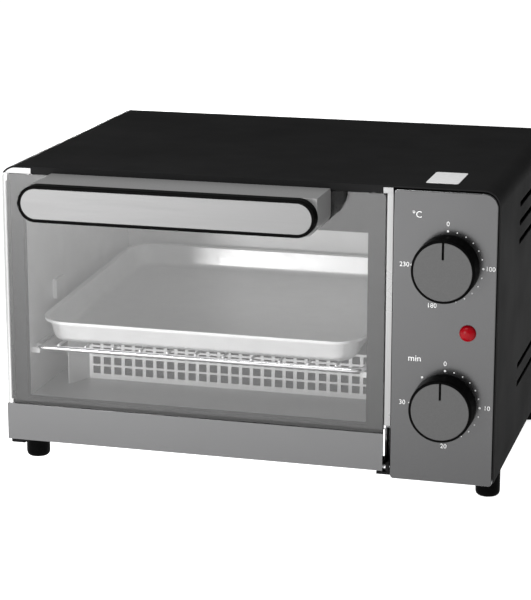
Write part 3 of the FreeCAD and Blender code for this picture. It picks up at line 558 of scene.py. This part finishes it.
# Rear cover: a flat steel sheet in the same stoved paint, punched with two groups of vents and
# held by six screws. Its moulded stand-offs keep the oven off the wall.
back = copy_of("rear_cover", "rear_cover_sheet")
soften(back, sheet_edge)
done(back, [black_paint], "oven", "black_enamel", "rear_cover")

# Sticker: blank silver foil with round corners, stuck on the cover's top near its front edge,
# above the controls.
foil, tree, shader = finish_of("silver_sticker", (0.85, 0.85, 0.85), metallic=0.1, roughness=0.4)
tint(tree, noise(tree, 300, 2), shader, (0.80, 0.80, 0.80), (0.90, 0.90, 0.90))
low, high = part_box("top_label")
sticker_corner = 2 * MM
sticker_film = 0.18 * MM
sticker = ring_plate("blank_sticker", low, high, high.z, sticker_corner, 4)
film = sticker.modifiers.new("film", "SOLIDIFY")
film.thickness = sticker_film
apply_all(sticker)
done(sticker, [foil], "oven", "silver_foil", "top_label")

# Control panel: pressed steel in grey metallic paint, its upper right corner drawn round to
# follow the cover, clipped on in front of the controls.
grey_paint, tree, shader = finish_of("grey_metallic_paint", (0.08, 0.08, 0.0812), roughness=0.22,
                                     metallic=0.9)
fleck = noise(tree, 2200, 1)
tint(tree, fleck, shader, (0.075, 0.075, 0.076), (0.086, 0.086, 0.087))
spread(tree, noise(tree, 20, 3), shader.inputs["Roughness"], 0.20, 0.25)
bump(tree, fleck, shader, 0.1, 0.00004)
panel = copy_of("control_panel", "control_panel_pressing")
soften(panel, sheet_edge)
done(panel, [grey_paint], "oven", "grey_enamel", "control_panel", smooth=25)

# Dial scales: dots and plain numbers screen printed in white ink on the panel around each knob,
# with the unit above them at the left.
ink, tree, shader = finish_of("white_print", (0.7, 0.7, 0.7), roughness=0.5)
tint(tree, noise(tree, 3000, 2), shader, (0.62, 0.62, 0.62), (0.74, 0.74, 0.74))
panel_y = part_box("control_panel")[0].y
print_lift = 0.06 * MM
print_sink = 0.01 * MM
dots_radius = 25.4 * MM
small_dot = 0.5 * MM
big_dot = 0.8 * MM
words_radius = 30.5 * MM
number_height = 4.8 * MM
unit_height = 6.5 * MM
unit_shift = -22 * MM


def spot(name, x, z, radius):
    """A printed dot: a low disc standing on the panel."""
    return turned(name, (x, panel_y, z), "y", [(radius, 0), (radius, -print_lift)], 12)


def word(name, text, x, z, tall):
    """A printed number or unit: text made into a thin mesh that faces forwards."""
    bpy.ops.object.select_all(action="DESELECT")
    bpy.ops.object.text_add(location=(x, panel_y - print_sink, z), rotation=(math.pi / 2, 0, 0))
    made = bpy.context.object
    made.data.body = text
    made.data.size = tall
    made.data.align_x = "CENTER"
    made.data.align_y = "CENTER"
    made.data.extrude = print_lift / 2
    made.data.resolution_u = 3
    bpy.ops.object.convert(target="MESH")
    bpy.ops.object.transform_apply()
    edit_whole()
    bpy.ops.mesh.remove_doubles(threshold=0.001 * MM)
    object_mode()
    made.name = made.data.name = name
    return made


def scale_of(name, node, dot_angles, big_angles, words, unit, unit_rise):
    """The scale round one knob; angles run clockwise from the top."""
    low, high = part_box(node)
    x, z = (low.x + high.x) / 2, (low.z + high.z) / 2
    parts = []
    for turn in dot_angles:
        a = math.radians(turn)
        size = big_dot if turn in big_angles else small_dot
        parts.append(spot("dot", x + dots_radius * math.sin(a), z + dots_radius * math.cos(a),
                          size))
    for turn, text in words:
        a = math.radians(turn)
        parts.append(word("word", text, x + words_radius * math.sin(a),
                          z + words_radius * math.cos(a), number_height))
    parts.append(word("unit", unit, x + unit_shift, z + unit_rise, unit_height))
    done(joined(name, *parts), [ink], "oven", "white_plastic")


scale_of("thermostat_scale", "thermostat_knob", range(0, 271, 15), (0, 90, 200, 270),
         ((0, "0"), (90, "100"), (200, "180"), (270, "230")), "°C", 36 * MM)
scale_of("timer_scale", "timer_knob", list(range(0, 271, 15)) + [-40], (0, -40, 90, 180),
         ((0, "0"), (90, "10"), (180, "20"), (270, "30")), "min", 33 * MM)

# Knobs: black mouldings, hollow behind, with a grey disc pressed into the face. A slot in the
# disc shows the black beneath it as the pointer.
moulded_grey, tree, shader = finish_of("moulded_grey", (0.068, 0.068, 0.068), roughness=0.38,
                                       specular=0.2)
tint(tree, noise(tree, 900, 2), shader, (0.064, 0.064, 0.064), (0.072, 0.072, 0.072))
spread(tree, noise(tree, 1500, 2), shader.inputs["Roughness"], 0.34, 0.44)
shaft_bore = 3.1 * MM
slot_half = 0.85 * MM
slot_start = 8.6 * MM


def block(name, low, high):
    """A cube stretched between two corners, ready to be shaped."""
    bpy.ops.object.select_all(action="DESELECT")
    low, high = Vector(low), Vector(high)
    bpy.ops.mesh.primitive_cube_add(size=1, location=(low + high) / 2)
    piece = bpy.context.object
    piece.name = piece.data.name = name
    piece.scale = high - low
    bpy.ops.object.transform_apply()
    return piece


def take_away(piece, tool):
    """Cut one shape out of another."""
    cut = piece.modifiers.new("cut", "BOOLEAN")
    cut.object = tool
    cut.operation = "DIFFERENCE"
    cut.solver = "EXACT"
    apply_all(piece)
    bpy.data.objects.remove(tool)


for dial in ("thermostat", "timer"):
    low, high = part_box(dial + "_knob")
    x, z = (low.x + high.x) / 2, (low.z + high.z) / 2
    radius = (high.x - low.x) / 2
    face_low, face_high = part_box(dial + "_knob_face")
    disc_radius = (face_high.x - face_low.x) / 2
    body = turned(dial + "_knob_moulding", (x, 0, z), "y", [
        (shaft_bore, low.y + 4 * MM), (shaft_bore, high.y - 0.5 * MM), (6 * MM, high.y - 0.5 * MM),
        (7 * MM, low.y + 4 * MM), (radius - 2.6 * MM, low.y + 4 * MM),
        (radius - 2 * MM, high.y), (radius - 0.3 * MM, high.y), (radius, high.y - 0.4 * MM),
        (radius - 0.3 * MM, low.y + 2 * MM), (radius - 0.5 * MM, low.y + 0.8 * MM),
        (radius - 1.0 * MM, low.y + 0.2 * MM), (radius - 1.5 * MM, low.y),
        (disc_radius + 0.25 * MM, low.y), (disc_radius + 0.1 * MM, low.y + 0.3 * MM),
        (disc_radius + 0.1 * MM, low.y + 1.25 * MM),
    ], 96)
    done(body, [moulded_black], dial + "_dial", "black_plastic", dial + "_knob")
    disc = turned(dial + "_face_disc", (x, 0, z), "y", [
        (disc_radius, face_high.y), (disc_radius, face_low.y + 0.35 * MM),
        (disc_radius - 0.1 * MM, face_low.y + 0.1 * MM), (disc_radius - 0.35 * MM, face_low.y),
    ], 96)
    slot_cut = block("slot_cut", (x - slot_half, face_low.y - MM, z + slot_start),
                     (x + slot_half, face_high.y + MM, z + disc_radius + MM))
    take_away(disc, slot_cut)
    done(disc, [moulded_grey], dial + "_dial", "grey_plastic", dial + "_knob_face")

# Controls behind the panel: turned brass shafts, and the thermostat's body moulded in brown
# phenolic resin. The knobs push on to the shafts.
brass, tree, shader = finish_of("turned_brass", (0.6, 0.42, 0.16), metallic=1.0, roughness=0.3)
spread(tree, noise(tree, 300, 2), shader.inputs["Roughness"], 0.25, 0.38)
wear(brass, "thermostat_shaft", "timer_shaft")
phenolic, tree, shader = finish_of("brown_phenolic", (0.08, 0.04, 0.02), roughness=0.5)
tint(tree, noise(tree, 300, 3), shader, (0.06, 0.03, 0.015), (0.10, 0.05, 0.025))
wear(phenolic, "thermostat_body")

# Pilot lamp: a dome moulded in clear red plastic with a neon behind it. Its collar is pushed into
# the panel's hole from the front.
red, tree, shader = finish_of("red_lens", (0.24, 0.0, 0.003), roughness=0.3, specular=0.12)
ribs = noise(tree, 300, 2)
tint(tree, ribs, shader, (0.20, 0.0, 0.003), (0.24, 0.0, 0.004))
spread(tree, ribs, shader.inputs["Roughness"], 0.26, 0.34)
low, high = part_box("pilot_lamp_lens")
x, z = (low.x + high.x) / 2, (low.z + high.z) / 2
dome_radius = (high.x - low.x) / 2
dome_height = panel_y - low.y
collar_radius = 4.9 * MM
collar_depth = 4 * MM
dome_gap = 0.04 * MM
rings = [(collar_radius, panel_y + collar_depth), (collar_radius, panel_y - dome_gap),
         (dome_radius, panel_y - dome_gap)]
for step in range(1, 9):
    a = math.radians(10 * step)
    rings.append((dome_radius * math.cos(a), panel_y - dome_height * math.sin(a)))
lens = turned("pilot_lamp_dome", (x, 0, z), "y", rings)
done(lens, [red], "oven", "red_lens", "pilot_lamp_lens", smooth=40)

# Door glass: a smoked tempered pane with ground edges, held in the rail below and by the
# handle's screws above. It mirrors more where it is seen at a glance.
smoked, tree, shader = finish_of("smoked_glass", (0.21, 0.21, 0.21), metallic=1.0,
                                 roughness=0.06)
tint(tree, noise(tree, 4, 2), shader, (0.205, 0.205, 0.205), (0.215, 0.215, 0.215))
glance = tree.nodes.new("ShaderNodeLayerWeight")
mirror_share = tree.nodes.new("ShaderNodeMapRange")
mirror_share.inputs["From Min"].default_value = 0.12
mirror_share.inputs["To Min"].default_value = 0.2
mirror_share.inputs["To Max"].default_value = 0.6
tree.links.new(glance.outputs["Facing"], mirror_share.inputs["Value"])
tree.links.new(mirror_share.outputs["Result"], shader.inputs["Alpha"])
ground_edge = 0.5 * MM
pane = copy_of("door_glass", "door_pane")
soften(pane, ground_edge)
done(pane, [smoked], "door", "smoked_glass", "door_glass")

# Door rail: folded steel in light grey paint along the door's foot, hinged at both ends on
# plated pins. The door stay, screws, washers and timer bell have the same plating.
rail_paint, tree, shader = finish_of("light_grey_paint", (0.12, 0.12, 0.1215), roughness=0.24,
                                     metallic=0.9)
fleck = noise(tree, 2200, 1)
tint(tree, fleck, shader, (0.114, 0.114, 0.1155), (0.128, 0.128, 0.1295))
spread(tree, noise(tree, 20, 3), shader.inputs["Roughness"], 0.22, 0.28)
bump(tree, fleck, shader, 0.1, 0.00004)
folded_edge = 0.35 * MM
rail = copy_of("door_bottom_rail", "door_rail_fold")
soften(rail, folded_edge)
done(rail, [rail_paint], "door", "grey_enamel", "door_bottom_rail")
wear(plated, "hinge_pins", "door_stay_arm", "handle_screws", "handle_washers", "foot_screws",
     "rear_screws", "control_screws", "timer_bell")

# Handle: a black grip plate with a satin silver inlay, on a hollow grey bracket that is screwed
# through the pane. Fingers go up behind the plate.
silver, tree, shader = finish_of("satin_silver", (0.145, 0.145, 0.145), metallic=0.65,
                                 roughness=0.4)
brush = noise(tree, 500, 3, (0.02, 1, 1))
tint(tree, brush, shader, (0.138, 0.138, 0.138), (0.153, 0.153, 0.153))
spread(tree, brush, shader.inputs["Roughness"], 0.38, 0.48)
seat_border = 2.2 * MM
seat_depth = 1.25 * MM
grip_edge = 0.7 * MM
inlay_edge = 0.3 * MM
bracket_edge = 0.5 * MM
hair = 0.01 * MM


def within_seat(c):
    """True inside the outline of the seat that the inlay lies in."""
    radius = (high.z - low.z) / 2
    x = min(max(c.x, low.x + radius), high.x - radius)
    return math.hypot(c.x - x, c.z - low.z - radius) < radius - MM


def rounded_bar(name, low, high):
    """A flat bar with fully rounded ends, seen from the front."""
    piece = block(name, low, high)
    choose(piece, "EDGE", lambda c, d: abs(d.y) > abs(d.x) + abs(d.z))
    almost_half = (high[2] - low[2]) / 2 * 0.999
    bpy.ops.mesh.bevel(offset=almost_half, segments=16, affect="EDGES")
    object_mode()
    return piece


low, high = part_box("handle_grip")
grip = rounded_bar("handle_grip_bar", low, high)
choose(grip, "FACE", lambda c, n: n.y < -0.9)
bpy.ops.mesh.inset(thickness=seat_border)
bpy.ops.mesh.extrude_region_move(TRANSFORM_OT_translate={"value": (0, seat_depth, 0)})
choose(grip, "EDGE", lambda c, d: abs(d.y) < 0.1 * hair and (
    c.y > high.y - hair or (c.y < low.y + hair and not within_seat(c))))
bpy.ops.mesh.bevel(offset=grip_edge, segments=3, affect="EDGES")
object_mode()
done(grip, [moulded_black], "door", "black_plastic", "handle_grip")
low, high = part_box("handle_face")
inlay = rounded_bar("handle_inlay", low, high)
soften(inlay, inlay_edge, 3)
done(inlay, [silver], "door", "brushed_silver", "handle_face")
moulded_light, tree, shader = finish_of("moulded_light_grey", (0.2, 0.2, 0.2), roughness=0.35,
                                        specular=0.3)
tint(tree, noise(tree, 900, 2), shader, (0.19, 0.19, 0.19), (0.21, 0.21, 0.21))
spread(tree, noise(tree, 1500, 2), shader.inputs["Roughness"], 0.32, 0.40)
bracket = copy_of("handle_bracket", "handle_bracket_moulding")
soften(bracket, bracket_edge, 3)
done(bracket, [moulded_light], "door", "grey_plastic", "handle_bracket")
